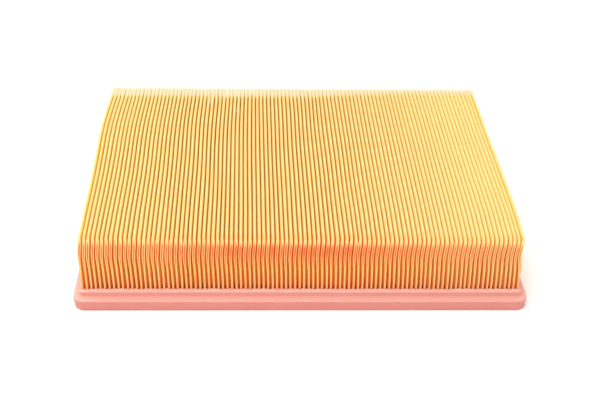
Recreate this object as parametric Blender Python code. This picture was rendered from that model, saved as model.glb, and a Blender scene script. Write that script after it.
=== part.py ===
"""Panel air filter: a pleated paper pack in a cast polyurethane sealing frame.

X runs across the pleats, Y along them and Z up. The origin is the centre of
the frame's flat underside, which rests on the airbox. Everything is bonded,
so nothing moves.
"""

import math

import bmesh
import bpy

MM = 0.001

# Clearance kept between pieces that touch in the real filter.
GAP = 0.3 * MM

# Pleated paper: one web, folded into equal pleats.
PLEAT_COUNT = 98
PLEAT_PITCH = 3.0 * MM
PLEAT_LENGTH = 220.0 * MM
PAPER_THICKNESS = 0.5 * MM
PLEAT_RISE = 40.0 * MM  # from the frame's ledge to the upper fold tips

# Hot-melt glue seams, one near each cut edge of the web.
GLUE_THICKNESS = 0.4 * MM  # glue between the two layers of a pleat
GLUE_WIDTH = 3.0 * MM  # measured along the pleat
GLUE_INSET = 1.0 * MM  # from the web's cut edge
GLUE_BRIDGE = 0.6 * MM  # height of the bead under the lower fold tips

# Sealing frame: flange, upright wall and ledge, cast in one piece.
FLANGE_HEIGHT = 7.3 * MM
FLANGE_WIDTH_ENDS = 6.1 * MM  # beyond the wall, at the pleats' ends
FLANGE_WIDTH_SIDES = 4.0 * MM  # beyond the wall, beside the outer pleats
WALL_HEIGHT = 3.4 * MM
LEDGE_WIDTH_ENDS = 2.8 * MM  # of the wall's top, at the pleats' ends
LEDGE_WIDTH_SIDES = 0.8 * MM  # of the wall's top, beside the outer pleats
LIP_REACH = 6.0 * MM  # under the pack, inwards from its outline
LIP_THICKNESS = 2.0 * MM
FLANGE_CORNER_RADIUS = 6.0 * MM
WALL_CORNER_RADIUS = 2.0 * MM
POCKET_CORNER_RADIUS = 0.3 * MM
LIP_CORNER_RADIUS = 3.0 * MM
FLANGE_EDGE_RADIUS = 1.0 * MM  # along the flange's outer top edge
SMALL_EDGE = 0.4 * MM  # bevel on the frame's other outer edges

FOLD_SEGMENTS_OUTER = 4  # facets round the outside of a fold
FOLD_SEGMENTS_INNER = 2  # facets round the inside of a fold
CORNER_SEGMENTS = 5  # facets round a corner of the frame in plan
EDGE_SEGMENTS = 3  # facets round the flange's top edge

# Sizes that follow from the ones above.
PLEAT_INSIDE = GLUE_THICKNESS + 2 * GAP
PLEAT_WIDTH = PLEAT_INSIDE + 2 * PAPER_THICKNESS
LEDGE_HEIGHT = FLANGE_HEIGHT + WALL_HEIGHT
PACK_BOTTOM = LIP_THICKNESS + GAP + GLUE_BRIDGE + GAP
PACK_TOP = LEDGE_HEIGHT + PLEAT_RISE
PACK_HALF_X = ((PLEAT_COUNT - 1) * PLEAT_PITCH + PLEAT_WIDTH) / 2
PACK_HALF_Y = PLEAT_LENGTH / 2
FOLD_RADIUS_OUTER = PLEAT_WIDTH / 2
FOLD_RADIUS_INNER = PLEAT_INSIDE / 2
CHANNEL_WIDTH = PLEAT_PITCH - PLEAT_WIDTH  # between one pleat and the next


def make_material(name, colour, roughness):
    """A plain Principled material with one colour."""
    material = bpy.data.materials.new(name)
    material.use_nodes = True
    shader = material.node_tree.nodes["Principled BSDF"]
    shader.inputs["Base Color"].default_value = (*colour, 1.0)
    shader.inputs["Roughness"].default_value = roughness
    shader.inputs["Metallic"].default_value = 0.0
    material.diffuse_color = (*colour, 1.0)
    return material


def add_object(name, mesh_builder, material):
    """Turn a bmesh into a named object with outward faces and one material."""
    bmesh.ops.recalc_face_normals(mesh_builder, faces=mesh_builder.faces)
    mesh = bpy.data.meshes.new(name)
    mesh_builder.to_mesh(mesh)
    mesh_builder.free()
    mesh.materials.append(material)
    piece = bpy.data.objects.new(name, mesh)
    bpy.context.scene.collection.objects.link(piece)
    return piece


def pleat_centre(index):
    """X of the middle of a pleat, counted from the left."""
    return (index - (PLEAT_COUNT - 1) / 2) * PLEAT_PITCH


def arc(centre_x, centre_z, radius, start, end, segments):
    """Points (x, z) on an arc, its ends included. The angles are in radians."""
    points = []
    for step in range(segments + 1):
        angle = start + (end - start) * step / segments
        x = centre_x + radius * math.cos(angle)
        z = centre_z + radius * math.sin(angle)
        points.append((x, z))
    return points


def extrude_outline(outline, low_y, high_y):
    """A closed solid: an outline in the XZ plane, extruded along Y."""
    builder = bmesh.new()
    corners = [builder.verts.new((x, low_y, z)) for x, z in outline]
    face = builder.faces.new(corners)
    extruded = bmesh.ops.extrude_face_region(builder, geom=[face])
    moved = [item for item in extruded["geom"] if isinstance(item, bmesh.types.BMVert)]
    bmesh.ops.translate(builder, verts=moved, vec=(0.0, high_y - low_y, 0.0))
    return builder


def web_outline():
    """The folded web's outline: along its upper face, then back along its lower one."""
    upper_z = PACK_TOP - FOLD_RADIUS_OUTER
    lower_radius = CHANNEL_WIDTH / 2 + PAPER_THICKNESS
    lower_z = PACK_BOTTOM + lower_radius
    half_pitch = PLEAT_PITCH / 2

    upper_face = [(-PACK_HALF_X, PACK_BOTTOM)]
    for index in range(PLEAT_COUNT):
        x = pleat_centre(index)
        upper_face += arc(x, upper_z, FOLD_RADIUS_OUTER, math.pi, 0.0, FOLD_SEGMENTS_OUTER)
        if index < PLEAT_COUNT - 1:
            x += half_pitch
            upper_face += arc(x, lower_z, CHANNEL_WIDTH / 2, -math.pi, 0.0, FOLD_SEGMENTS_INNER)
    upper_face.append((PACK_HALF_X, PACK_BOTTOM))

    lower_face = [(-PACK_HALF_X + PAPER_THICKNESS, PACK_BOTTOM)]
    for index in range(PLEAT_COUNT):
        x = pleat_centre(index)
        lower_face += arc(x, upper_z, FOLD_RADIUS_INNER, math.pi, 0.0, FOLD_SEGMENTS_INNER)
        if index < PLEAT_COUNT - 1:
            x += half_pitch
            lower_face += arc(x, lower_z, lower_radius, -math.pi, 0.0, FOLD_SEGMENTS_OUTER)
    lower_face.append((PACK_HALF_X - PAPER_THICKNESS, PACK_BOTTOM))

    return upper_face + lower_face[::-1]


def build_pleated_paper():
    """The folded web, open on the clean side below and the dirty side above."""
    builder = extrude_outline(web_outline(), -PACK_HALF_Y, PACK_HALF_Y)
    material = make_material("filter_paper", (0.86, 0.56, 0.19), 0.85)
    return add_object("pleated_paper", builder, material)


def seam_outline():
    """A comb: one tooth of glue in each pleat, joined under the lower folds."""
    tooth_half = GLUE_THICKNESS / 2
    tooth_top = PACK_TOP - PAPER_THICKNESS - GAP / math.cos(math.pi / 4) - tooth_half
    bridge_top = PACK_BOTTOM - GAP
    bridge_bottom = bridge_top - GLUE_BRIDGE
    outline = []
    for index in range(PLEAT_COUNT):
        x = pleat_centre(index)
        outline.append((x - tooth_half, bridge_top if index else bridge_bottom))
        outline.append((x - tooth_half, tooth_top))
        outline.append((x, tooth_top + tooth_half))
        outline.append((x + tooth_half, tooth_top))
        is_last = index == PLEAT_COUNT - 1
        outline.append((x + tooth_half, bridge_bottom if is_last else bridge_top))
    return outline


def build_glue_seams():
    """The two beads that close the pleats' ends, one at each cut edge of the web."""
    material = make_material("hot_melt_glue", (0.80, 0.52, 0.26), 0.4)
    outer = PACK_HALF_Y - GLUE_INSET
    inner = outer - GLUE_WIDTH
    front = extrude_outline(seam_outline(), -outer, -inner)
    rear = extrude_outline(seam_outline(), inner, outer)
    add_object("front_pleat_end_glue_seam", front, material)
    add_object("rear_pleat_end_glue_seam", rear, material)


def rounded_rectangle(half_x, half_y, radius):
    """Points (x, y) anticlockwise round a rectangle with round corners."""
    points = []
    for quarter in range(4):
        middle = math.pi / 4 + quarter * math.pi / 2
        sign_x = math.copysign(1.0, math.cos(middle))
        sign_y = math.copysign(1.0, math.sin(middle))
        centre_x = sign_x * (half_x - radius)
        centre_y = sign_y * (half_y - radius)
        start = quarter * math.pi / 2
        points += arc(centre_x, centre_y, radius, start, start + math.pi / 2, CORNER_SEGMENTS)
    return points


def frame_section():
    """The frame's section as rings: (half_x, half_y, corner radius, z) for each."""
    pocket_x = PACK_HALF_X + GAP
    pocket_y = PACK_HALF_Y + GAP
    wall_x = pocket_x + LEDGE_WIDTH_SIDES
    wall_y = pocket_y + LEDGE_WIDTH_ENDS
    flange_x = wall_x + FLANGE_WIDTH_SIDES
    flange_y = wall_y + FLANGE_WIDTH_ENDS
    opening_x = PACK_HALF_X - LIP_REACH
    opening_y = PACK_HALF_Y - LIP_REACH

    def flange_ring(inset, z):
        return (flange_x - inset, flange_y - inset, FLANGE_CORNER_RADIUS - inset, z)

    rings = [flange_ring(SMALL_EDGE, 0.0), flange_ring(0.0, SMALL_EDGE)]
    for step in range(EDGE_SEGMENTS + 1):
        angle = step / EDGE_SEGMENTS * math.pi / 2
        inset = FLANGE_EDGE_RADIUS * (1 - math.cos(angle))
        drop = FLANGE_EDGE_RADIUS * (1 - math.sin(angle))
        rings.append(flange_ring(inset, FLANGE_HEIGHT - drop))
    rings.append((wall_x, wall_y, WALL_CORNER_RADIUS, FLANGE_HEIGHT))
    rings.append((wall_x, wall_y, WALL_CORNER_RADIUS, LEDGE_HEIGHT - SMALL_EDGE))
    wall_top_radius = WALL_CORNER_RADIUS - SMALL_EDGE
    rings.append((wall_x - SMALL_EDGE, wall_y - SMALL_EDGE, wall_top_radius, LEDGE_HEIGHT))
    rings.append((pocket_x, pocket_y, POCKET_CORNER_RADIUS, LEDGE_HEIGHT))
    rings.append((pocket_x, pocket_y, POCKET_CORNER_RADIUS, LIP_THICKNESS))
    rings.append((opening_x, opening_y, LIP_CORNER_RADIUS, LIP_THICKNESS))
    rings.append((opening_x, opening_y, LIP_CORNER_RADIUS, 0.0))
    return rings


def build_sealing_frame():
    """One closed casting: each ring of the section is bridged to the next."""
    builder = bmesh.new()
    loops = []
    for half_x, half_y, radius, z in frame_section():
        points = rounded_rectangle(half_x, half_y, radius)
        loops.append([builder.verts.new((x, y, z)) for x, y in points])
    for lower, upper in zip(loops, loops[1:] + loops[:1]):
        for index in range(len(lower)):
            following = (index + 1) % len(lower)
            corners = (lower[index], lower[following], upper[following], upper[index])
            builder.faces.new(corners)
    material = make_material("cast_polyurethane", (0.93, 0.55, 0.48), 0.6)
    frame = add_object("sealing_frame", builder, material)
    frame.data.shade_smooth()
    frame.data.set_sharp_from_angle(angle=math.radians(40))
    return frame


def main():
    """Clear the scene and build the filter."""
    for old in list(bpy.data.objects):
        bpy.data.objects.remove(old)
    build_pleated_paper()
    build_glue_seams()
    build_sealing_frame()


main()
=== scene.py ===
import math

import bpy
import numpy as np
from mathutils import Matrix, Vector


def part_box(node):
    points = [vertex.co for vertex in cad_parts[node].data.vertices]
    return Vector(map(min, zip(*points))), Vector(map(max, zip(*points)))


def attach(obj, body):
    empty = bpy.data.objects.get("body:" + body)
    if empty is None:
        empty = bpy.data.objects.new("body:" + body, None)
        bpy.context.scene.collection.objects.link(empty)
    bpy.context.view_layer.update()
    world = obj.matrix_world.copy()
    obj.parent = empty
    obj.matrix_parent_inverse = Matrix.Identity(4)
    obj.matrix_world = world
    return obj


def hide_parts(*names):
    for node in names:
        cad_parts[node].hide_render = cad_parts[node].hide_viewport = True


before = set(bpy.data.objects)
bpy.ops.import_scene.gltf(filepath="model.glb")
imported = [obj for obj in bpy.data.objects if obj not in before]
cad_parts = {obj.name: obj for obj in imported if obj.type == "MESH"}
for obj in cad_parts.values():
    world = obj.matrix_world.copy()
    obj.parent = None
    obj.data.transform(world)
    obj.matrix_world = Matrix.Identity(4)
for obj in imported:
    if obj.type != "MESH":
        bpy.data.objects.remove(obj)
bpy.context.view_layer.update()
mm = 0.001
packLow, packHigh = (np.array(corner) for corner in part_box("pleated_paper"))
ringLow, ringHigh = (np.array(corner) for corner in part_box("sealing_frame"))
print("frame loaded, pack", np.round((packHigh - packLow) / mm, 1), "mm")


def linearColour(hexText):
    # sRGB hex to linear light: the straight part below 0.04045, the power curve above it
    channels = np.array([int(hexText[at:at + 2], 16) / 255 for at in (1, 3, 5)])
    curved = ((channels + 0.055) / 1.055) ** 2.4
    return (*np.where(channels <= 0.04045, channels / 12.92, curved), 1.0)


def smoothStep(value, low, high):
    # 0 below low, 1 above high, and the cubic 3s^2 - 2s^3 between them
    share = np.clip((value - low) / (high - low), 0.0, 1.0)
    return share * share * (3 - 2 * share)


def softNoise(random, count, places, waves, roughness=0.7):
    # Sums cosines of whole and half wave numbers along places (0 to 1), each with its own
    # random phase and a height that falls as the wave number to the power of roughness.
    numbers = np.arange(1, waves + 1)
    phases = random.uniform(0, 2 * math.pi, (count, waves, 1))
    heights = random.normal(0, 1, (count, waves, 1)) / numbers[:, None] ** roughness
    return (heights * np.cos(math.pi * numbers[:, None] * places + phases)).sum(axis=1)


def gridQuads(across, along, closeAcross=False):
    # Four corners for each cell of a grid whose vertices are numbered row after row
    first = np.arange(across if closeAcross else across - 1)[:, None]
    second = (first + 1) % across
    step = np.arange(along - 1)[None, :]
    near, far = first * along + step, second * along + step
    return np.stack((near, far, far + 1, near + 1), axis=-1).reshape(-1, 4)


def makePiece(name, points, faces, materials, faceMaterials=None, attributes=None, sharpAngle=40):
    # A mesh object at the origin, shaded smooth except at edges sharper than sharpAngle
    mesh = bpy.data.meshes.new(name)
    mesh.from_pydata(points.reshape(-1, 3).tolist(), [], faces)
    for material in materials:
        mesh.materials.append(material)
    if faceMaterials is not None:
        mesh.polygons.foreach_set("material_index", faceMaterials)
    for label, values in (attributes or {}).items():
        layer = mesh.attributes.new(label, "FLOAT", "POINT")
        layer.data.foreach_set("value", np.ascontiguousarray(values, dtype=np.float32).ravel())
    mesh.update()
    mesh.shade_smooth()
    mesh.set_sharp_from_angle(angle=math.radians(sharpAngle))
    piece = bpy.data.objects.new(name, mesh)
    bpy.context.scene.collection.objects.link(piece)
    return piece


def addNode(tree, kind, settings=None, inputs=None, links=None):
    # One node: its own settings, the values of its sockets, and the sockets that feed it
    node = tree.nodes.new(kind)
    for key, value in (settings or {}).items():
        setattr(node, key, value)
    for key, value in (inputs or {}).items():
        node.inputs[key].default_value = value
    for key, source in (links or {}).items():
        tree.links.new(source, node.inputs[key])
    return node


def newMaterial(name, roughness, **sockets):
    # A material whose Principled shader has its constant values on its own sockets
    material = bpy.data.materials.new(name)
    material.use_nodes = True
    tree = material.node_tree
    shader = tree.nodes["Principled BSDF"]
    shader.inputs["Roughness"].default_value = roughness
    for label, value in sockets.items():
        shader.inputs[label.replace("_", " ")].default_value = value
    return material, tree, shader


# Resin-cured cellulose paper, wet-laid and folded: matt, and thin enough to pass a good part
# of the light, so the channels glow orange. Cloudy fibre clumps, paler along the folds where
# bending cracks the resin, deeper where glue and casting have soaked in.
# Painted light on the paper: the paler sides of the pack stand for light on the flanks seen there, the pale
# rear noses for a glow from the light behind, and the fold-tip tint carried down the front noses for light
# from above.
paperLook = {
    "sheet": "#F7E695",
    "clump": "#F6D780",
    "paintedSideColour": "#FAFEC6",
    "paintedPaleLight": "#F8EFD2",
    "potted": "#F58E70",
    "fold": "#FDEBB6",
    "soaked": "#FFC448",
    "deeper": "#FF9A38",
    "through": "#FCEF9C",
    "throughSoaked": "#FFECA0",
    "throughShare": 0.55,
    "clumpSize": 2.2 * mm,
    "fibreSize": 0.35 * mm,  # real fibres are finer, and wouldn't show
}


def passLight(tree, shader, colour, share):
    # Part of the light that meets the sheet comes out on its other side, in the given colour
    through = addNode(tree, "ShaderNodeBsdfTranslucent", {}, {}, {"Color": colour})
    addNode(tree, "ShaderNodeMixShader", {}, {0: share}, {1: shader.outputs[0], 2: through.outputs[0]})
    output = tree.nodes["Material Output"]
    tree.links.new(tree.nodes["Mix Shader"].outputs[0], output.inputs["Surface"])


def mixTowards(tree, colour, attribute, goal, plain="#FFFFFF"):
    # The colour (or the plain one, where nothing is linked) goes over to the goal by the share
    # the mesh gives in the named attribute
    share = addNode(tree, "ShaderNodeAttribute", {"attribute_name": attribute})
    mixed = addNode(tree, "ShaderNodeMix", {"data_type": "RGBA"},
                    {"A": linearColour(plain), "B": linearColour(goal)}, {"Factor": share.outputs["Fac"]})
    if colour is not None:
        tree.links.new(colour, mixed.inputs["A"])
    return mixed.outputs["Result"]


def resinCuredPaper():
    # The clump noise plus the pleat's tone mixes the sheet's two colours. Each attribute then
    # takes that on towards its own colour, by its share, and the light that passes likewise.
    material, tree, shader = newMaterial("resinCuredPaper", 0.82, Specular_IOR_Level=0.25)
    place = addNode(tree, "ShaderNodeTexCoord")
    clumps = addNode(tree, "ShaderNodeTexNoise", {"noise_dimensions": "3D"},
                     {"Scale": 1 / paperLook["clumpSize"], "Detail": 3.0, "Roughness": 0.6},
                     {"Vector": place.outputs["Object"]})
    fibres = addNode(tree, "ShaderNodeTexNoise", {"noise_dimensions": "3D"},
                     {"Scale": 1 / paperLook["fibreSize"], "Detail": 2.0},
                     {"Vector": place.outputs["Object"]})
    tone = addNode(tree, "ShaderNodeAttribute", {"attribute_name": "pleatTone"})
    mixed = addNode(tree, "ShaderNodeMath", {"operation": "ADD"}, {},
                    {0: clumps.outputs["Fac"], 1: tone.outputs["Fac"]})
    sheet = addNode(tree, "ShaderNodeMix", {"data_type": "RGBA"},
                    {"A": linearColour(paperLook["clump"]), "B": linearColour(paperLook["sheet"])},
                    {"Factor": mixed.outputs[0]})
    colour = sheet.outputs["Result"]
    # the side tint, the rear-nose tint and, on the front noses, the fold-tip tint are painted light
    for attribute, key in (("paintedSideLight", "paintedSideColour"), ("foldTipAndPaintedLight", "fold"), ("soaked", "soaked"),
                           ("deeper", "deeper"), ("paintedPaleLight", "paintedPaleLight"), ("potted", "potted")):
        colour = mixTowards(tree, colour, attribute, paperLook[key])
    tree.links.new(colour, shader.inputs["Base Color"])
    through = mixTowards(tree, None, "soaked", paperLook["throughSoaked"], paperLook["through"])
    # the rear noses' painted glow goes into the passed light too
    through = mixTowards(tree, through, "paintedPaleLight", paperLook["paintedPaleLight"])
    passLight(tree, shader, through, paperLook["throughShare"])
    bump = addNode(tree, "ShaderNodeBump", {}, {"Strength": 0.35, "Distance": 0.06 * mm},
                   {"Height": fibres.outputs["Fac"]})
    tree.links.new(bump.outputs["Normal"], shader.inputs["Normal"])
    return material


# The same paper where the web was slit: open fibres, a little paler and rougher than the
# soaked face beside it, deeper where the glue lies thickest.
edgeLook = {
    "fibre": "#FFB86C",
    "paleFibre": "#FFD290",
    "deeper": "#FF9450",
    # the fold-tip tint on the slit edge is painted light from above on the front noses
    "fold": "#FFDC90",
    "fibreSize": 0.5 * mm,  # drawn coarser than real fibres too
}


def slitPaperEdge():
    # The fibre noise mixes the edge's two colours, and glue, the paler fold-tip tint (painted light from
    # above on the front noses) and casting tint them in turn
    material, tree, shader = newMaterial("slitPaperEdge", 0.9, Specular_IOR_Level=0.2)
    place = addNode(tree, "ShaderNodeTexCoord")
    fibres = addNode(tree, "ShaderNodeTexNoise", {"noise_dimensions": "3D"},
                     {"Scale": 1 / edgeLook["fibreSize"], "Detail": 3.0},
                     {"Vector": place.outputs["Object"]})
    edge = addNode(tree, "ShaderNodeMix", {"data_type": "RGBA"},
                   {"A": linearColour(edgeLook["fibre"]), "B": linearColour(edgeLook["paleFibre"])},
                   {"Factor": fibres.outputs["Fac"]})
    colour = mixTowards(tree, edge.outputs["Result"], "deeper", edgeLook["deeper"])
    colour = mixTowards(tree, colour, "foldTipAndPaintedLight", edgeLook["fold"])
    colour = mixTowards(tree, colour, "potted", paperLook["potted"])
    tree.links.new(colour, shader.inputs["Base Color"])
    bump = addNode(tree, "ShaderNodeBump", {}, {"Strength": 0.5, "Distance": 0.1 * mm},
                   {"Height": fibres.outputs["Fac"]})
    tree.links.new(bump.outputs["Normal"], shader.inputs["Normal"])
    return material


# Hot-melt glue, extruded as a bead and squeezed flat: amber, waxy, lit through a little,
# painted paler under the fold tip as painted light from above, and deeper where it is thick.
glueLook = {
    "amber": "#EE6E1E",
    "lightAmber": "#F4802C",
    "deeper": "#E64E14",
    "paintedTipLight": "#FFDC84",
    "cloudSize": 1.5 * mm,
    "litDepth": 0.8 * mm,
}


def extrudedHotMelt():
    # The cloud noise mixes two ambers, and the bead's thick part and a painted highlight under the fold tip
    # tint them in turn
    material, tree, shader = newMaterial("extrudedHotMelt", 0.38, IOR=1.48,
                                         Subsurface_Weight=0.25, Subsurface_Scale=glueLook["litDepth"])
    shader.inputs["Subsurface Radius"].default_value = (1.0, 0.5, 0.2)
    place = addNode(tree, "ShaderNodeTexCoord")
    cloud = addNode(tree, "ShaderNodeTexNoise", {"noise_dimensions": "3D"},
                    {"Scale": 1 / glueLook["cloudSize"], "Detail": 2.0},
                    {"Vector": place.outputs["Object"]})
    amber = addNode(tree, "ShaderNodeMix", {"data_type": "RGBA"},
                    {"A": linearColour(glueLook["amber"]), "B": linearColour(glueLook["lightAmber"])},
                    {"Factor": cloud.outputs["Fac"]})
    colour = mixTowards(tree, amber.outputs["Result"], "deeper", glueLook["deeper"])
    colour = mixTowards(tree, colour, "foldTipAndPaintedLight", glueLook["paintedTipLight"])
    tree.links.new(colour, shader.inputs["Base Color"])
    bump = addNode(tree, "ShaderNodeBump", {}, {"Strength": 0.4, "Distance": 0.1 * mm},
                   {"Height": cloud.outputs["Fac"]})
    tree.links.new(bump.outputs["Normal"], shader.inputs["Normal"])
    return material


# Soft integral-skin polyurethane, cast in an open mould: salmon pink, between satin and matt by
# a fine grain, painted paler on its up-facing faces as painted top light and sheen, with
# pin-holes, cloudy tone where the foam rose unevenly, and burst bubbles on the free-risen ledge.
castingLook = {
    "skin": "#D5897C",
    "cloud": "#CC7C70",
    "paintedTopColour": "#ECB4A8",
    "bubble": "#FBD3C4",
    # painted highlight on the pips' tips and painted shadow at their feet
    "paintedPipHighlight": "#FACDBD",
    "paintedPipShadow": "#8E4438",
    "cloudSize": 14 * mm,
    "poreSize": 0.9 * mm,  # real pores are a few tenths of that, and wouldn't show
    "bubbleSize": 0.8 * mm,
    "burst": (0.5, 0.6),  # the noise's range over which a bubble shows
    "satin": 0.42,
    "matt": 0.62,
}


def castPolyurethane():
    # The cloud noise mixes the skin's two colours, and a paler colour covers them on the up-facing
    # faces, as painted top light and sheen. Bubbles show by how far the foam noise is over its
    # range's foot, times how free the foam rose there. The grain noise sets the roughness between
    # satin and matt. The pips' painted highlights and shadows go on last.
    material, tree, shader = newMaterial("castPolyurethane", 0.5, IOR=1.5, Specular_IOR_Level=0.4)
    place = addNode(tree, "ShaderNodeTexCoord")
    cloud = addNode(tree, "ShaderNodeTexNoise", {"noise_dimensions": "3D"},
                    {"Scale": 1 / castingLook["cloudSize"], "Detail": 4.0, "Roughness": 0.55},
                    {"Vector": place.outputs["Object"]})
    skin = addNode(tree, "ShaderNodeMix", {"data_type": "RGBA"},
                   {"A": linearColour(castingLook["cloud"]), "B": linearColour(castingLook["skin"])},
                   {"Factor": cloud.outputs["Fac"]})
    # up-facing faces painted paler, as painted top light and sheen
    paintedPaleLight = mixTowards(tree, skin.outputs["Result"], "paintedTopLight", castingLook["paintedTopColour"])
    foam = addNode(tree, "ShaderNodeTexNoise", {"noise_dimensions": "3D"},
                   {"Scale": 1 / castingLook["bubbleSize"], "Detail": 1.0},
                   {"Vector": place.outputs["Object"]})
    closed, gaping = castingLook["burst"]
    burst = addNode(tree, "ShaderNodeMapRange", {}, {"From Min": closed, "From Max": gaping},
                    {"Value": foam.outputs["Fac"]})
    risen = addNode(tree, "ShaderNodeAttribute", {"attribute_name": "freeRisen"})
    bubbles = addNode(tree, "ShaderNodeMath", {"operation": "MULTIPLY"}, {},
                      {0: risen.outputs["Fac"], 1: burst.outputs["Result"]})
    speckled = addNode(tree, "ShaderNodeMix", {"data_type": "RGBA"},
                       {"B": linearColour(castingLook["bubble"])},
                       {"Factor": bubbles.outputs[0], "A": paintedPaleLight})
    # painted highlight on the pips' tips, painted shadow at their feet
    colour = mixTowards(tree, speckled.outputs["Result"], "paintedPipHighlight", castingLook["paintedPipHighlight"])
    colour = mixTowards(tree, colour, "paintedPipShadow", castingLook["paintedPipShadow"])
    tree.links.new(colour, shader.inputs["Base Color"])
    grain = addNode(tree, "ShaderNodeTexNoise", {"noise_dimensions": "3D"},
                    {"Scale": 1 / castingLook["poreSize"], "Detail": 2.0},
                    {"Vector": place.outputs["Object"]})
    shine = addNode(tree, "ShaderNodeMapRange", {},
                    {"To Min": castingLook["satin"], "To Max": castingLook["matt"]},
                    {"Value": grain.outputs["Fac"]})
    tree.links.new(shine.outputs["Result"], shader.inputs["Roughness"])
    bump = addNode(tree, "ShaderNodeBump", {}, {"Strength": 0.3, "Distance": 0.12 * mm},
                   {"Height": grain.outputs["Fac"]})
    tree.links.new(bump.outputs["Normal"], shader.inputs["Normal"])
    return material


paperMaterial = resinCuredPaper()
edgeMaterial = slitPaperEdge()
glueMaterial = extrudedHotMelt()
castingMaterial = castPolyurethane()
print("materials made")


web = {
    "pleats": 98,
    "pleatWide": 2.0 * mm,  # outside, across the fold tip
    "thick": 0.5 * mm,
    "topRise": 0.3 * mm,  # how far the highest fold tips stand above the pack's nominal top
    "tipWander": 0.16 * mm,  # unevenness of the fold tips' height, from pleat to pleat
    "tipWave": 0.08 * mm,  # and along each pleat
    "tipLimit": 1.5,  # times topRise: no fold tip stands higher
    "twist": 0.4 * mm,  # the pack's top is slightly in wind
    "ledge": ringHigh[2],
    "lean": -1.15 * mm,  # the pleats lean to -X above the ledge
    "leanFoot": -0.1 * mm,
    "leanFrom": 6 * mm,  # above the ledge
    "leanHigh": 28 * mm,  # above the ledge, where the lean is complete
    "leanBack": 0.75 * mm,  # the noses stand back up over the last part of their height
    "leanBackFrom": 15 * mm,  # below the fold tip
    "footWander": 0.09 * mm,  # unevenness of the pleats' places, at the foot and at the top
    "topWander": 0.06 * mm,
    "edgeHold": (0.75 * mm, 1.15 * mm),  # the outermost pleats are held in by the casting
    "edgeReach": 7 * mm,
    "tipNarrower": 0.0028,  # the pack narrows by this share towards the tips of its bound ends
    "bulgeLeft": 1.7 * mm,
    "bulgeEvenly": 0.2 * mm,
    "bulgeLeftAt": 44 * mm,
    "bulgeReach": 48 * mm,
    "bulgeRight": 2.5 * mm,
    "splayRight": (0.6 * mm, 2.4 * mm),  # outward lean of the last noses, front and rear
    "sway": 0.07 * mm,
    "groupSway": 0.3 * mm,  # neighbours sway together
    "groupWide": 3.0,  # pleats
    "groupHigh": (0.4, 0.6),  # shares of that sway at the top and half-way up
    "channel": 1.3 * mm,  # between two fold tips
    "channelDeep": 0.14 * mm,  # where the flanks belly towards each other
    "channelWander": 0.07 * mm,
    "channelLeast": 0.03 * mm,
    "channelOpens": 6 * mm,  # behind the front pinch, where the channels have their full width
    "bellyFrom": -0.4 * mm,  # below the fold tip, where the flanks start to belly
    "bellyFull": 5.2 * mm,
    "lowerOpens": (2 * mm, 10 * mm),  # above the lower folds, where the channels open again
    "pinchFull": (-109.6 * mm, 99.0 * mm),  # beyond these the two layers are pressed together
    "pinchStart": (-107.7 * mm, 94.0 * mm),
    "crownFrom": 1 * mm,  # below the fold tip, where the upper fold's width is first taken
    "upperSteps": 6,
    "lowerSteps": 5,
    "flankShares": np.array([0.06, 0.13, 0.21, 0.32, 0.50, 0.78]),  # of the way down a flank
    "flatCrown": 0.7,  # how much flatter the fold tips are on the swollen rear noses
    "rearLater": 5 * mm,  # at the right end of the pack the rear noses start this much later
    "rearLaterFrom": 0.6,  # of half the pack's width, where all of that is reached
    "pinchGap": 0.06 * mm,  # glue film between the pressed layers
    "noseStraight": 11.0 * mm,  # below the fold tip, still full width
    "noseLong": 20.5 * mm,  # below the fold tip, pinched shut from here down
    "noseLongWander": 1.5 * mm,
    "noseWideWander": (0.05, 0.015),  # shares of the nose's width, front and rear
    "rearNose": 1.62,  # the noses swell at the rear until they nearly touch
    "endDroop": (1.6 * mm, 0.0),  # how far the fold tip dips at its front and rear end
    "droopReach": 3.6 * mm,
    "droopPower": 2.5,
    "slitWander": 0.12 * mm,
    "deeperReach": 0.5,  # of half the pack's width: the glue is laid thicker near the middle
    "deeperLeast": 0.35,  # of the full depth of colour, as it varies from pleat to pleat
    "deeperDown": (9 * mm, 19 * mm),  # below the fold tip, where that ends
    "toneWander": 0.16,  # of the way between the paper's two colours
    "paintedSideRight": (0.1, 1.0),  # shares of half the width, over which the paper is painted paler, as painted side light
    "paintedSideLeft": (0.2, 1.0),
    "paintedSideLeftShare": 0.6,
    "paintedSideLast": 0.2,  # share of the painted side light that the outermost pleats keep
    "crackedDown": (1.5 * mm, 0.1 * mm),  # below the fold tip, where the cracked resin is pale
    "paintedLightAtSlit": 4.4 * mm,  # so much further down at the front edge, where the pale tint is painted light from above
    "paintedLightReach": 1.5 * mm,
    "soakedReach": (8 * mm, 2.4 * mm),  # from the pack's ends, where the glue has soaked in
    "soakedAside": 0.25,  # less of it where the sides are painted paler
    "paintedGlowLater": 1 * mm,  # the painted glow on the rear noses begins this much behind where they start
    "paintedGlowDown": (14 * mm, 5 * mm),  # below the fold tip, where the painted glow on the rear noses sets in and is full
    "pottedShare": 0.6,
    "pottedUp": (-1 * mm, 8 * mm),  # above the ledge, where the casting has soaked in
    "seed": 11,
}
web["pitch"] = (packHigh[0] - packLow[0] - web["pleatWide"]) / (web["pleats"] - 1)
web["halfLong"] = packHigh[1]

# Where the web has vertices along each pleat: close together near its two ends, where it is
# pinched and droops, and far apart between them
frontRows = np.array([0, 0.4, 0.9, 1.4, 1.9, 2.3, 3.2, 8.0]) * mm
middleRows = np.array([-78, -52, -26, 0, 24, 48, 70, 88]) * mm
rearRows = np.array([16, 13.5, 11, 8, 4, 0]) * mm
rowPlaces = np.concatenate((-web["halfLong"] + frontRows, middleRows, web["halfLong"] - rearRows))


def blurAcross(field, wide):
    # Each pleat takes the bell-weighted mean of its neighbours, so that groups move together
    numbers = np.arange(field.shape[0])
    weights = np.exp(-((numbers[:, None] - numbers[None, :]) / wide) ** 2)
    return (weights / np.sqrt((weights ** 2).sum(axis=1, keepdims=True))) @ field


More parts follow.
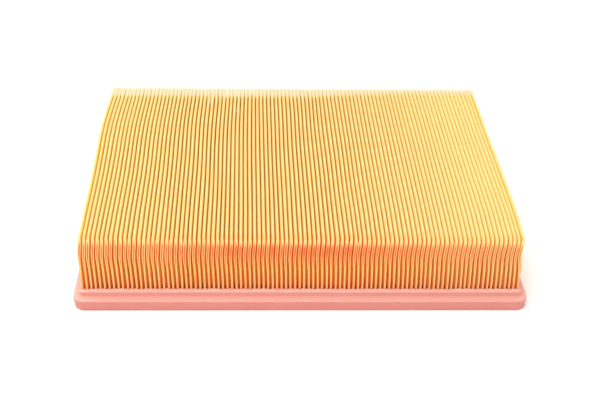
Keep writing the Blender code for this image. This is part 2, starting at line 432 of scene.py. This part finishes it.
def webShape():
    # What each pleat does along its length, as arrays of (pleat, row): its place at the foot and
    # at the top, its sways, fold tip, pinch and tints. side is -1 at the left end of the pack and
    # 1 at the right, share is 0 at the front and 1 at the rear. centreAt and flanksAt turn them
    # into the middle line of a pleat and its two layers at any height.
    random = np.random.default_rng(web["seed"])
    number = np.arange(web["pleats"])[:, None]
    middle = (web["pleats"] - 1) / 2
    even = (number - middle) * web["pitch"]
    side = even / (-packLow[0])
    y = rowPlaces[None, :]
    share = (y + web["halfLong"]) / (2 * web["halfLong"])

    fade = 1 - (y / web["halfLong"]) ** 4
    leftBulge = web["bulgeLeft"] * np.exp(-((y - web["bulgeLeftAt"]) / web["bulgeReach"]) ** 2)
    leftBulge = (leftBulge + web["bulgeEvenly"]) * fade
    rightBulge = web["bulgeRight"] * fade
    bulge = side * np.where(side < 0, leftBulge, rightBulge)
    foot = even + web["leanFoot"] + random.normal(0, web["footWander"], even.shape)
    held = np.exp((np.abs(even) + packLow[0]) / web["edgeReach"])
    hold = np.sign(side) * np.where(side < 0, *web["edgeHold"]) * held
    top = even - hold + web["lean"] + random.normal(0, web["topWander"], even.shape) + bulge
    back = web["leanBack"] - even * web["tipNarrower"] * (y / web["halfLong"]) ** 6
    back = back + np.where(y < 0, *web["splayRight"]) * np.maximum(side, 0) * (y / web["halfLong"]) ** 4
    sway = web["sway"] * softNoise(random, web["pleats"], share, 4)
    together = blurAcross(softNoise(random, web["pleats"], share, 5), web["groupWide"])

    (frontFull, rearFull), (frontStart, rearStart) = web["pinchFull"], web["pinchStart"]
    later = web["rearLater"] * smoothStep(side, 0.0, web["rearLaterFrom"])
    ends = smoothStep(-y, -frontStart, -frontFull) + smoothStep(y, rearStart + later, rearFull + later)
    tipWander = np.abs(random.normal(0, web["tipWander"], even.shape))
    tipWave = web["tipWave"] * softNoise(random, web["pleats"], share, 3)
    fromRound = np.clip((np.abs(y) - web["halfLong"]) / web["droopReach"] + 1, 0, 1)
    droop = np.where(y < 0, *web["endDroop"]) * fromRound ** web["droopPower"]
    twist = web["twist"] * side * y / web["halfLong"]
    tip = packHigh[2] + web["topRise"] - tipWander + tipWave - droop + twist
    # the pack's sides are painted paler, as painted light on the flanks seen there
    paintedSideLight = smoothStep(side, *web["paintedSideRight"])
    paintedSideLight = paintedSideLight + web["paintedSideLeftShare"] * smoothStep(-side, *web["paintedSideLeft"])
    outermost = np.abs(number - middle) == middle
    channelDeep = web["channelDeep"] + web["channelWander"] * softNoise(random, web["pleats"], share, 6)
    channelDeep = channelDeep * smoothStep(y, frontStart, frontStart + web["channelOpens"])
    whole = np.ones_like(foot * y)
    return {
        "foot": foot * whole, "top": top * whole, "back": back * whole, "sway": sway,
        "together": together * (1 - ends) * web["groupSway"], "pinch": ends * whole,
        "tip": np.minimum(tip, packHigh[2] + web["tipLimit"] * web["topRise"]), "y": y * whole,
        "slit": np.sign(y) * ends * random.normal(0, web["slitWander"], (web["pleats"], 1)),
        "noseLong": (web["noseLong"] + random.normal(0, web["noseLongWander"], even.shape)) * whole,
        "noseWide": np.where(y < 0, 1.0, web["rearNose"])
        + random.normal(0, 1, even.shape) * np.where(y < 0, *web["noseWideWander"]),
        "tone": random.normal(0, web["toneWander"], even.shape) * whole,
        # where the rear noses carry a painted glow of the light behind them; their crowns are flattened
        # there too
        "paintedPaleLight": smoothStep(y, rearStart + later + web["paintedGlowLater"], rearFull + later) * whole,
        "paintedSideLight": paintedSideLight * np.where(outermost, web["paintedSideLast"], 1.0) * whole,
        "channelDeep": np.maximum(channelDeep, web["channelLeast"]),
        "deeper": np.exp(-(side / web["deeperReach"]) ** 4) * whole
        * random.uniform(web["deeperLeast"], 1.0, even.shape),
    }


def centreAt(shape, z):
    # X of the pleats' middle at height z: foot + (top - foot) * rise, where rise goes from 0 at
    # the ledge to 1 a little above it, plus back over the last stretch below the fold tip,
    # plus the sways, which are greatest half-way up
    rise = smoothStep(z, web["ledge"] + web["leanFrom"], web["ledge"] + web["leanHigh"])
    upright = smoothStep(z, shape["tip"] - web["leanBackFrom"], shape["tip"])
    belly = np.sin(math.pi * np.clip((z - web["ledge"]) / (shape["tip"] - web["ledge"]), 0, 1))
    atTop, halfWay = web["groupHigh"]
    moved = shape["sway"] * rise + shape["together"] * (atTop * rise + halfWay * belly)
    return shape["foot"] + (shape["top"] - shape["foot"]) * rise + shape["back"] * upright + moved


def pinchedOffset(shape, z):
    # Half the distance between the layers of a bound end: full width in the nose under the
    # fold tip, then a soft taper to layers pressed together
    free = (web["pleatWide"] - web["thick"]) / 2
    pressed = (web["thick"] + web["pinchGap"]) / 2
    taper = smoothStep(shape["tip"] - z, web["noseStraight"], shape["noseLong"])
    return free * shape["noseWide"] * (1 - taper) + pressed * taper


def channelAt(shape, z):
    # Clear width between a pleat and the next: full at the fold tips and over the lower folds,
    # almost closed between them, where the flanks belly
    below = smoothStep(shape["tip"] - z, web["bellyFrom"], web["bellyFull"])
    above = smoothStep(z - packLow[2], *web["lowerOpens"])
    return web["channel"] + (shape["channelDeep"] - web["channel"]) * below * above


def flanksAt(shape, z):
    # X of each pleat's left and right layer. Between the bound ends each channel is centred
    # between two pleats and has its own width; at the ends each pleat has its own width.
    centre = centreAt(shape, z)
    offset = pinchedOffset(shape, z)
    toNext = (centre[1:] - centre[:-1]) / 2
    reach = (channelAt(shape, z)[:-1] + web["thick"]) / 2
    outer = np.full_like(centre[:1], (web["pleatWide"] - web["thick"]) / 2)
    right = centre + np.concatenate((toNext - reach, outer))
    left = centre - np.concatenate((outer, toNext - reach))
    pinch = shape["pinch"]
    return left + (centre - offset - left) * pinch, right + (centre + offset - right) * pinch


def foldedWeb(shape):
    # The web's middle surface as a function of (station along the web, place along the pleat):
    # up a flank, half round the upper fold, down the other flank, half round the lower fold.
    # Each face lies half a thickness to either side of it, along the section's normal.
    pleats, rows = shape["foot"].shape
    half = web["thick"] / 2
    upperTurn = np.linspace(math.pi, 0, web["upperSteps"])[None, :, None]
    lowerTurn = np.linspace(math.pi, 2 * math.pi, web["lowerSteps"])[None, :, None]
    flankShares = web["flankShares"][None, :, None]
    spread = {key: value[:, None, :] for key, value in shape.items()}

    left, right = flanksAt(shape, shape["tip"] - web["crownFrom"])
    squash = 1 - web["flatCrown"] * shape["paintedPaleLight"]
    crown = shape["tip"] - half - (right - left) / 2 * squash
    left, right = flanksAt(shape, crown)
    radius = (right - left) / 2
    middle = (right + left) / 2
    lowLeft, lowRight = flanksAt(shape, packLow[2] + web["lowerOpens"][0] + 0 * crown)
    lowerRadius = (np.roll(lowLeft, -1, axis=0) - lowRight) / 2
    lowerRadius[-1] = lowerRadius[-2]
    trough = packLow[2] + half + lowerRadius
    troughBefore = np.roll(trough, 1, axis=0)
    troughBefore[0] = trough[0]

    def flank(side, floor):
        # Stations at shares of the way from the crown down to the lower fold
        z = crown[:, None, :] + (floor - crown)[:, None, :] * flankShares
        x = flanksAt(spread, z)[0 if side < 0 else 1]
        return x, z, side + 0 * z, 0 * z

    upX, upZ, upNormalX, upNormalZ = (part[:, ::-1] for part in flank(-1, troughBefore))
    downX, downZ, downNormalX, downNormalZ = flank(1, trough)
    foldX = middle[:, None, :] + radius[:, None, :] * np.cos(upperTurn)
    foldZ = crown[:, None, :] + (radius * squash)[:, None, :] * np.sin(upperTurn)
    turnX = lowRight[:, None, :] + lowerRadius[:, None, :] * (1 + np.cos(lowerTurn))
    turnZ = trough[:, None, :] + lowerRadius[:, None, :] * np.sin(lowerTurn)
    flat = np.ones((pleats, 1, rows))
    x = np.concatenate((upX, foldX, downX, turnX), axis=1).reshape(-1, rows)
    z = np.concatenate((upZ, foldZ, downZ, turnZ), axis=1).reshape(-1, rows)
    normalX = np.concatenate(
        (upNormalX, np.cos(upperTurn) * flat, downNormalX, -np.cos(lowerTurn) * flat), axis=1)
    normalZ = np.concatenate(
        (upNormalZ, np.sin(upperTurn) * flat, downNormalZ, -np.sin(lowerTurn) * flat), axis=1)
    normalX, normalZ = normalX.reshape(-1, rows), normalZ.reshape(-1, rows)

    # the web starts and ends in the casting, straight down from its first and last flank
    perPleat = x.shape[0] // pleats
    last = x.shape[0] - lowerTurn.shape[1]
    footLevel = np.full((1, rows), packLow[2])
    x = np.concatenate((lowLeft[:1], x[:last], lowRight[-1:]))
    z = np.concatenate((footLevel, z[:last], footLevel))
    sideways = np.ones((1, rows))
    normalX = np.concatenate((-sideways, normalX[:last], sideways))
    normalZ = np.concatenate((0 * sideways, normalZ[:last], 0 * sideways))

    def perStation(values):
        # A pleat's value for each of the stations along the web that belong to it
        whole = np.repeat(values, perPleat, axis=0)
        return np.concatenate((whole[:1], whole[:last], whole[-1:]))

    y = perStation(shape["y"] + shape["slit"])
    tip = perStation(shape["tip"])
    upper = np.stack((x + half * normalX, y, z + half * normalZ), axis=-1)
    lower = np.stack((x - half * normalX, y, z - half * normalZ), axis=-1)
    paintedSideLight = perStation(shape["paintedSideLight"])
    # near the front slit the fold-tip tint reaches further down, as painted light from above on the noses;
    # elsewhere it is the pale cracked resin
    atSlit = 1 - np.clip((y + web["halfLong"]) / web["paintedLightReach"], 0, 1)
    (crackedEnd, crackedFull), (paintedGlowEnd, paintedGlowFull) = web["crackedDown"], web["paintedGlowDown"]
    foldTipAndPaintedLight = smoothStep(z, tip - crackedEnd - web["paintedLightAtSlit"] * atSlit, tip - crackedFull)
    soakedEnd, soakedFull = web["soakedReach"]
    glued = smoothStep(np.abs(y), web["halfLong"] - soakedEnd, web["halfLong"] - soakedFull) * (1 - foldTipAndPaintedLight)
    looks = {
        "foldTipAndPaintedLight": foldTipAndPaintedLight, "pleatTone": perStation(shape["tone"]), "paintedSideLight": paintedSideLight,
        "soaked": glued * (1 - web["soakedAside"] * paintedSideLight),
        # painted glow on the rear noses, for the light from behind
        "paintedPaleLight": perStation(shape["paintedPaleLight"]) * smoothStep(z, tip - paintedGlowEnd, tip - paintedGlowFull),
        "potted": web["pottedShare"] * (1 - smoothStep(z - web["ledge"], *web["pottedUp"])),
        "deeper": perStation(shape["deeper"]) * glued * (1 - smoothStep(tip - z, *web["deeperDown"])),
    }
    return upper, lower, looks


def buildWeb(shape):
    # Both faces as grids of quads, closed by a strip along each slit edge (front and rear) and
    # along each cut end of the web (start and end)
    upper, lower, looks = foldedWeb(shape)
    stations, rows = upper.shape[:2]
    points = np.concatenate((upper.reshape(-1, 3), lower.reshape(-1, 3)))
    top = gridQuads(stations, rows)[:, ::-1]
    bottom = gridQuads(stations, rows) + stations * rows
    column = np.arange(stations - 1) * rows
    below = stations * rows
    front = np.stack((column, column + below, column + rows + below, column + rows), axis=-1)[:, ::-1]
    rear = front[:, ::-1] + rows - 1
    row = np.arange(rows - 1)
    start = np.stack((row, row + 1, row + 1 + below, row + below), axis=-1)[:, ::-1]
    end = start[:, ::-1] + (stations - 1) * rows
    faces = np.concatenate((top, bottom, front, rear, start, end))
    kinds = np.zeros(len(faces), dtype=np.int32)
    kinds[len(top) + len(bottom):] = 1
    attributes = {key: np.concatenate((value.ravel(), value.ravel())) for key, value in looks.items()}
    piece = makePiece("pleatedPaperWeb", points, faces.tolist(), [paperMaterial, edgeMaterial], kinds,
                      attributes, sharpAngle=50)
    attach(piece, "root")
    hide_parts("pleated_paper")
    return piece


shape = webShape()
paperWeb = buildWeb(shape)
print("web folded,", len(paperWeb.data.polygons), "faces")


glue = {
    "recess": 0.25 * mm,  # behind the slit edge
    "deep": 4.0 * mm,  # from the slit edge to the bead's inner face
    "bite": 0.03 * mm,  # into each layer, so no slot shows
    "crown": 0.12 * mm,  # the bead's face stands out a little in the middle
    "recessWander": 0.1 * mm,
    "topNarrow": 0.45,  # share of the width that the bead keeps right under the fold
    "levels": np.array([0.6, 1.1, 2.6, 5, 8, 11, 14, 17, 21, 30, 39]) * mm,  # below the fold tip
    "paintedTipLightUnder": (0.4 * mm, 5.5 * mm),  # below the fold tip, over which the bead's painted highlight fades out
    "seed": 23,
}


def buildGlueSeam(name, node, end):
    # One flat wedge of glue in each pleat: at each level five corners round its section, from
    # the left layer over the slightly crowned outer face to the right layer and back inside.
    random = np.random.default_rng(glue["seed"] + (end > 0))
    row = 0 if end < 0 else rowPlaces.size - 1
    here = {key: value[:, row:row + 1] for key, value in shape.items()}
    z = here["tip"] - glue["levels"][None, :]
    middle = centreAt(here, z)
    reach = pinchedOffset(here, z) - web["thick"] / 2 + glue["bite"]
    reach[:, 0] *= glue["topNarrow"]
    recess = glue["recess"] + np.abs(random.normal(0, glue["recessWander"], z.shape))
    outer = end * (web["halfLong"] - recess)
    inner = end * (web["halfLong"] - glue["deep"]) + 0 * z
    corners = (
        (middle - reach, outer), (middle, outer + end * glue["crown"]), (middle + reach, outer),
        (middle + reach, inner), (middle - reach, inner))
    points = np.stack([np.stack((x, y, z), axis=-1) for x, y in corners], axis=1)
    pleats, around, levels = points.shape[:3]
    oneWedge = gridQuads(around, levels, closeAcross=True)
    if end < 0:
        oneWedge = oneWedge[:, ::-1]
    shifts = (np.arange(pleats) * around * levels)[:, None, None]
    sides = (oneWedge[None] + shifts).reshape(-1, 4)
    lid = np.arange(around) * levels
    lids = (lid[None] + shifts[:, :, 0])
    bases = (lid[None, ::-1] + levels - 1 + shifts[:, :, 0])
    if end > 0:
        lids, bases = lids[:, ::-1], bases[:, ::-1]
    faces = sides.tolist() + lids.tolist() + bases.tolist()
    whole = np.ones((pleats, around, 1))
    # painted light: the bead is painted paler just under the fold tip
    paintedTipLight = (1 - smoothStep(glue["levels"], *glue["paintedTipLightUnder"])) * whole
    deeper = (1 - smoothStep(glue["levels"], *web["deeperDown"])) * whole * here["deeper"][:, None, :]
    piece = makePiece(name, points, faces, [glueMaterial],
                      attributes={"foldTipAndPaintedLight": paintedTipLight, "deeper": deeper}, sharpAngle=60)
    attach(piece, "root")
    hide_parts(node)
    return piece


buildGlueSeam("frontGlueSeam", "front_pleat_end_glue_seam", -1)
buildGlueSeam("rearGlueSeam", "rear_pleat_end_glue_seam", 1)
print("glue seams laid")


casting = {
    "flangeHigh": 7.3 * mm,
    "ledgeEnds": 3.1 * mm,  # from the pack to the wall's face
    "ledgeSides": 1.1 * mm,
    "lipReach": 6.0 * mm,  # under the pack
    "lipSlope": 1.2 * mm,
    "potting": 1.1 * mm,  # the casting's surface between the pleats lies this far below the ledge
    "flangeCorner": 7.6 * mm,
    "wallCorner": 2.4 * mm,
    "topEdge": 0.9 * mm,
    "bottomEdge": 0.5 * mm,
    "wallFoot": 0.5 * mm,
    "wallEdge": 0.5 * mm,
    "draft": np.array((0.7, -0.1)) * mm,  # towards its foot the flange narrows in X, widens in Y
    "longSteps": 600,
    "shortSteps": 240,
    "cornerSteps": 12,
    "ledgeWander": 0.3 * mm,  # where the foam rose freely
    "freeFrom": 0.35,
    "ledgeLimit": 0.6 * mm,  # above the ledge's nominal height
    "seed": 37,
}


def edgeArc(startAngle, endAngle, steps):
    # Cosine and sine along an arc given in degrees
    angles = np.radians(np.linspace(startAngle, endAngle, steps))
    return list(zip(np.cos(angles), np.sin(angles)))


def frameSection():
    # The casting's section from the outer bottom edge round to the inner one. Each entry is
    # (half X, half Y, corner radius, z, share of painted top light and sheen, how free the foam rose).
    flange = np.array((ringHigh[0], ringHigh[1]))
    pack = np.array((packHigh[0], packHigh[1]))
    wall = pack + (casting["ledgeSides"], casting["ledgeEnds"])
    opening = pack - casting["lipReach"]
    high, ledge = casting["flangeHigh"], ringHigh[2]
    section = []

    def add(half, corner, z, paintedTopLight=0.0, risen=0.0):
        # One more ring, with a corner that never gets sharp
        section.append((half[0], half[1], max(corner, 0.2 * mm), z, paintedTopLight, risen))

    r = casting["bottomEdge"]
    for across, up in edgeArc(270, 360, 4):
        inset = r * (1 - across) + casting["draft"]
        add(flange - inset, casting["flangeCorner"] - inset[0] * 0.3, r * (1 + up))
    add(flange - casting["draft"] * 0.5, casting["flangeCorner"], high * 0.5)
    r = casting["topEdge"]
    for across, up in edgeArc(0, 90, 5):
        inset = r * (1 - across)
        add(flange - inset, casting["flangeCorner"] - inset, high - r * (1 - up), 0.7 * up ** 2)
    add((flange + wall) / 2, casting["flangeCorner"] * 0.7, high - 0.05 * mm, 0.7)
    r = casting["wallFoot"]
    for across, up in edgeArc(270, 180, 4):
        add(wall + r * (1 + across), casting["wallCorner"], high + r * (1 + up), 0.4)
    r = casting["wallEdge"]
    for across, up in edgeArc(0, 90, 4):
        inset = r * (1 - across)
        add(wall - inset, casting["wallCorner"] - inset, ledge - r * (1 - up), 0.25 + 0.6 * up, 0.4 * up)
    add(pack + (0.5 * mm, 1.7 * mm), 0.9 * mm, ledge - 0.05 * mm, 1.0, 1.0)
    add(pack + (0.3 * mm, 0.8 * mm), 0.6 * mm, ledge + 0.02 * mm, 1.0, 1.0)
    add(pack + (0.1 * mm, 0.1 * mm), 0.4 * mm, ledge, 1.0, 1.0)
    add(pack - (0.3 * mm, 0.4 * mm), 0.3 * mm, ledge - 0.5 * mm, 1.0, 1.0)
    floor = ledge - casting["potting"]
    add(pack - 0.9 * mm, 0.3 * mm, floor + 0.9 * mm, 1.0, 0.7)
    add(pack - 2.0 * mm, 0.4 * mm, floor, 1.0, 0.7)
    add(opening + 0.5 * mm, 2.0 * mm, floor - 0.3 * mm, 1.0, 0.7)
    add(opening, 2.5 * mm, floor - 1.2 * mm, 0.6, 0.5)
    add(opening + casting["lipSlope"] * 0.4, 2.5 * mm, 0.8 * mm)
    add(opening + casting["lipSlope"] * 0.6, 2.8 * mm, 0.2 * mm)
    add(opening + casting["lipSlope"], 3.0 * mm, 0.0)
    return np.array(section)


def roundedRectangle(halfX, halfY, corner):
    # Points round a rectangle with round corners, anticlockwise from the end of its +X side: a
    # quarter arc of cornerSteps at each corner, then a straight run of equal steps to the next.
    points, middles = [], (halfX - corner, halfY - corner)
    signs = ((1, 1), (-1, 1), (-1, -1), (1, -1))
    for quarter, (signX, signY) in enumerate(signs):
        angles = np.linspace(0, math.pi / 2, casting["cornerSteps"] + 1) + quarter * math.pi / 2
        arcX = signX * middles[0][:, None] + corner[:, None] * np.cos(angles)
        arcY = signY * middles[1][:, None] + corner[:, None] * np.sin(angles)
        steps = casting["longSteps"] if quarter % 2 == 0 else casting["shortSteps"]
        share = np.linspace(0, 1, steps + 1)[1:-1]
        nextX, nextY = signs[(quarter + 1) % 4]
        turn = (quarter + 1) * math.pi / 2
        runStart = np.stack((arcX[:, -1], arcY[:, -1]))[:, :, None]
        endX = nextX * middles[0] + corner * math.cos(turn)
        endY = nextY * middles[1] + corner * math.sin(turn)
        run = runStart + (np.stack((endX, endY))[:, :, None] - runStart) * share
        points.append(np.concatenate((np.stack((arcX, arcY)), run), axis=2).transpose(1, 2, 0))
    return np.concatenate(points, axis=1)


def buildCasting():
    # The section carried round a rounded rectangle; each ring keeps its own half sizes and corner
    section = frameSection()
    random = np.random.default_rng(casting["seed"])
    plan = roundedRectangle(section[:, 0], section[:, 1], section[:, 2])
    rings, around = plan.shape[:2]
    z = np.repeat(section[:, 3:4], around, axis=1)
    paintedTopLight = np.repeat(section[:, 4:5], around, axis=1)
    risen = np.repeat(section[:, 5:6], around, axis=1)
    rough = random.normal(0, 1, (rings, around))
    rough = (rough + np.roll(rough, 1, axis=1) + np.roll(rough, -1, axis=1)) / math.sqrt(3)
    z = z + casting["ledgeWander"] * rough * smoothStep(risen, casting["freeFrom"], 1.0)
    z = np.minimum(z, ringHigh[2] + casting["ledgeLimit"])
    points = np.concatenate((plan, z[:, :, None]), axis=-1)
    shifted = np.swapaxes(points, 0, 1)
    quads = gridQuads(around, rings, closeAcross=True)
    firstRing = np.arange(around) * rings
    following = np.roll(firstRing, -1)
    seam = np.stack((firstRing + rings - 1, following + rings - 1, following, firstRing), axis=-1)
    faces = np.concatenate((quads, seam))
    piece = makePiece("castSealingFrame", shifted, faces.tolist(), [castingMaterial],
                      attributes={"paintedTopLight": paintedTopLight.T, "freeRisen": risen.T}, sharpAngle=60)
    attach(piece, "root")
    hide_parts("sealing_frame")
    return piece


castFrame = buildCasting()
print("frame cast,", len(castFrame.data.polygons), "faces")


pips = {
    "apart": 21.15 * mm,
    "start": 1.3 * mm,  # the first pip's place on a side, from its middle
    "radius": 0.6 * mm,
    "high": 0.75 * mm,
    "fromEdge": 0.25 * mm,
    "sunk": 0.75 * mm,
    "paintedShadowHigh": 0.1 * mm,  # the part of each pip below this is painted dark, as the painted shadow of a vent hole
    "lift": (-1.2, 0.4 * math.pi),  # radians of elevation, lowest and highest ring
    "sides": 10,
    "rings": 5,
}


def buildPips():
    # Each pip is an ellipsoid let into the flange's edge: around by azimuth, up by elevation,
    # closed by a pole and a base. Its tip is painted pale as a painted highlight, and its foot is
    # painted dark as the painted shadow of a vent hole.
    lift = np.linspace(*pips["lift"], pips["rings"])
    turn = np.arange(pips["sides"]) / pips["sides"] * 2 * math.pi
    ringX = pips["radius"] * np.cos(lift)[:, None] * np.cos(turn)
    ringY = pips["radius"] * np.cos(lift)[:, None] * np.sin(turn)
    ringZ = pips["high"] * np.sin(lift)[:, None] + 0 * turn
    one = np.stack((ringX, ringY, ringZ), axis=-1).reshape(-1, 3)
    one = np.concatenate((one, [[0, 0, pips["high"]]]))
    edgeX = ringHigh[0] - pips["fromEdge"]
    edgeY = ringHigh[1] - pips["fromEdge"]
    places = []
    for half, fixed, alongX in ((edgeX, edgeY, True), (edgeY, edgeX, False)):
        reach = half - casting["flangeCorner"]
        count = int((reach - pips["start"]) // pips["apart"])
        spots = pips["start"] + pips["apart"] * np.arange(-count, count + 1)
        for side in (-1, 1):
            places += [(spot, side * fixed) if alongX else (side * fixed, spot) for spot in spots]
    places = np.array(places)
    surface = np.full((len(places), 1), casting["flangeHigh"] - pips["sunk"])
    centres = np.concatenate((places, surface), axis=1)
    points = centres[:, None, :] + one[None]
    size = len(one)
    wall = gridQuads(pips["sides"], pips["rings"], closeAcross=True)
    across, up = wall // pips["rings"], wall % pips["rings"]
    wall = up * pips["sides"] + across
    ring = np.arange(pips["sides"])
    topRing = (pips["rings"] - 1) * pips["sides"]
    pole = np.full(pips["sides"], size - 1)
    cap = np.stack((topRing + ring, topRing + (ring + 1) % pips["sides"], pole), axis=-1)
    shifts = np.arange(len(places))[:, None, None] * size
    faces = (wall[None] + shifts).reshape(-1, 4).tolist()
    faces += (cap[None] + shifts).reshape(-1, 3).tolist()
    faces += (ring[None, ::-1] + shifts[:, :, 0]).tolist()
    # feet painted dark as painted shadow, tips painted pale as painted highlight
    below = np.tile(one[:, 2] < pips["paintedShadowHigh"], (len(places), 1))
    piece = makePiece("ventPips", points, faces, [castingMaterial],
                      attributes={"paintedPipShadow": below, "paintedPipHighlight": ~below}, sharpAngle=60)
    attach(piece, "root")
    return piece


buildPips()
print("vent pips added")


studio = {
    "floorColour": "#F6F5F3",
    "floorShade": "#F5F4F2",
    "toothSize": 60 * mm,  # drawn as broad clouds, because real tooth is too fine to show
    "floorHalf": 4.0,
    "skyColour": "#FFFFFF",
    "skyStrength": 0.9,
    "topSoftbox": {"place": (-0.55, 0.2, 1.4), "size": (1.6, 1.2), "power": 17},
    "frontSoftbox": {"place": (-0.3, -1.0, 1.6), "size": (1.4, 1.0), "power": 9.6},
    "bounces": 64,  # light reaches the channels' depths through many layers of paper
    "cameraPlace": (-35.82 * mm, -713.98 * mm, 456.64 * mm),
    "yaw": 3.086,  # degrees
    "pitch": 31.853,
    "roll": 1.842,
    "lens": 67.30,  # millimetres, as is the sensor
    "sensor": 36.0,
}


def studioFloor():
    # One large square of matt seamless paper, with a faint tooth, level with the underside
    material, tree, shader = newMaterial("seamlessPaper", 0.9, Specular_IOR_Level=0.1)
    place = addNode(tree, "ShaderNodeTexCoord")
    tooth = addNode(tree, "ShaderNodeTexNoise", {}, {"Scale": 1 / studio["toothSize"], "Detail": 2.0},
                    {"Vector": place.outputs["Object"]})
    tint = addNode(tree, "ShaderNodeMix", {"data_type": "RGBA"},
                   {"A": linearColour(studio["floorShade"]), "B": linearColour(studio["floorColour"])},
                   {"Factor": tooth.outputs["Fac"]})
    tree.links.new(tint.outputs["Result"], shader.inputs["Base Color"])
    half = studio["floorHalf"]
    corners = np.array([(-half, -half, 0), (half, -half, 0), (half, half, 0), (-half, half, 0)])
    corners[:, 2] = ringLow[2]
    floor = makePiece("floor", corners, [(0, 1, 2, 3)], [material])


def addSoftbox(name):
    # A rectangular area light that faces the origin: its own Z axis points away from there
    place = studio[name]["place"]
    data = bpy.data.lights.new(name, "AREA")
    data.shape = "RECTANGLE"
    data.size, data.size_y = studio[name]["size"]
    data.energy = studio[name]["power"]
    light = bpy.data.objects.new(name, data)
    bpy.context.scene.collection.objects.link(light)
    backwards = np.array(place) / np.linalg.norm(place)
    across = np.cross((0, 1, 0.001), backwards)
    across /= np.linalg.norm(across)
    upwards = np.cross(backwards, across)
    turned = Matrix(np.column_stack((across, upwards, backwards)).tolist()).to_4x4()
    turned.translation = place
    light.matrix_world = turned


def studioLight():
    # An even sky, a large softbox above and a weaker one towards the camera
    world = bpy.data.worlds.new("studioSky")
    bpy.context.scene.world = world
    world.use_nodes = True
    sky = world.node_tree.nodes["Background"]
    sky.inputs["Color"].default_value = linearColour(studio["skyColour"])
    sky.inputs["Strength"].default_value = studio["skyStrength"]
    addSoftbox("topSoftbox")
    addSoftbox("frontSoftbox")


def studioCamera():
    # Turned about Z by the yaw, tipped down by the pitch, then rolled about its own axis
    data = bpy.data.cameras.new("camera")
    data.lens = studio["lens"]
    data.sensor_width = studio["sensor"]
    camera = bpy.data.objects.new("camera", data)
    bpy.context.scene.collection.objects.link(camera)
    turn = Matrix.Rotation(math.radians(-studio["yaw"]), 4, "Z")
    turn = turn @ Matrix.Rotation(math.radians(90 - studio["pitch"]), 4, "X")
    turn = turn @ Matrix.Rotation(math.radians(studio["roll"]), 4, "Z")
    turn.translation = studio["cameraPlace"]
    camera.matrix_world = turn
    bpy.context.scene.camera = camera


studioFloor()
studioLight()
studioCamera()
bpy.context.scene.view_settings.view_transform = "Standard"
for kind in ("max_bounces", "diffuse_bounces", "transmission_bounces"):
    setattr(bpy.context.scene.cycles, kind, studio["bounces"])
print("studio set")
